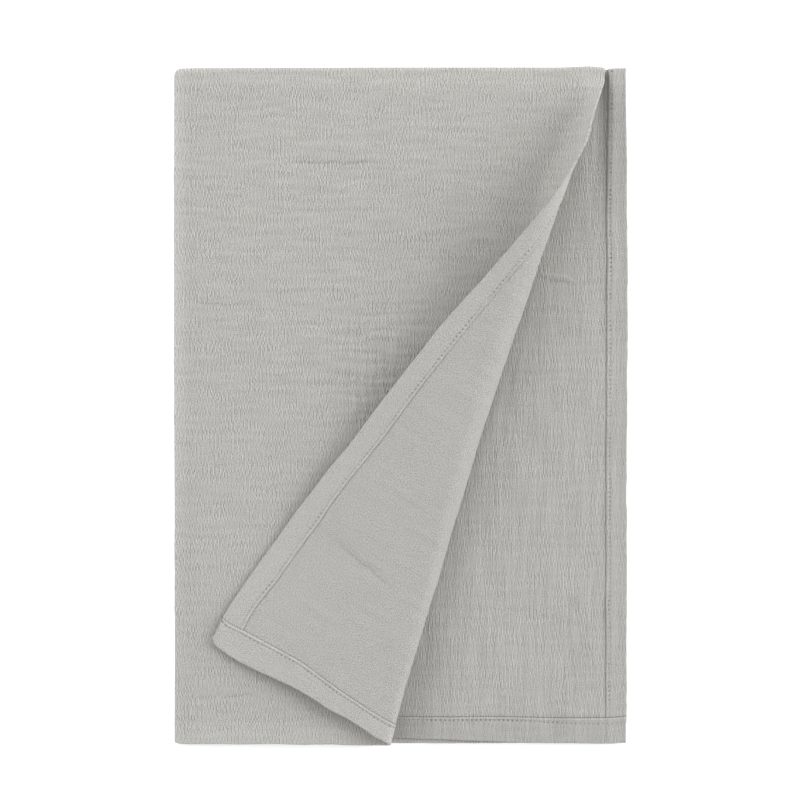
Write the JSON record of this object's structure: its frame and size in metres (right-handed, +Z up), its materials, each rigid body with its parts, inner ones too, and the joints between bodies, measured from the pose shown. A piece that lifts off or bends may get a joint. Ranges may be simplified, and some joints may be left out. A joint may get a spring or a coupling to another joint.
{
  "type": "muslin swaddle blanket",
  "caption": "Crinkled cotton muslin swaddle blanket, hemmed all round, folded flat in layers with its top corner turned back.",
  "frame": {"origin": "bottom centre of the folded blanket, on the surface it lies on", "axes": "+Y up the blanket's length to the top fold, +X across it to its open side, +Z up from the surface"},
  "size_m": [0.4008, 0.6016, 0.0535],
  "materials": {
    "muslin": "matt crinkled cotton double gauze, light warm grey, sewn with thread of its own colour"
  },
  "bodies": {
    "root": {"muslin_cloth": "muslin"}
  },
  "joints": []
}
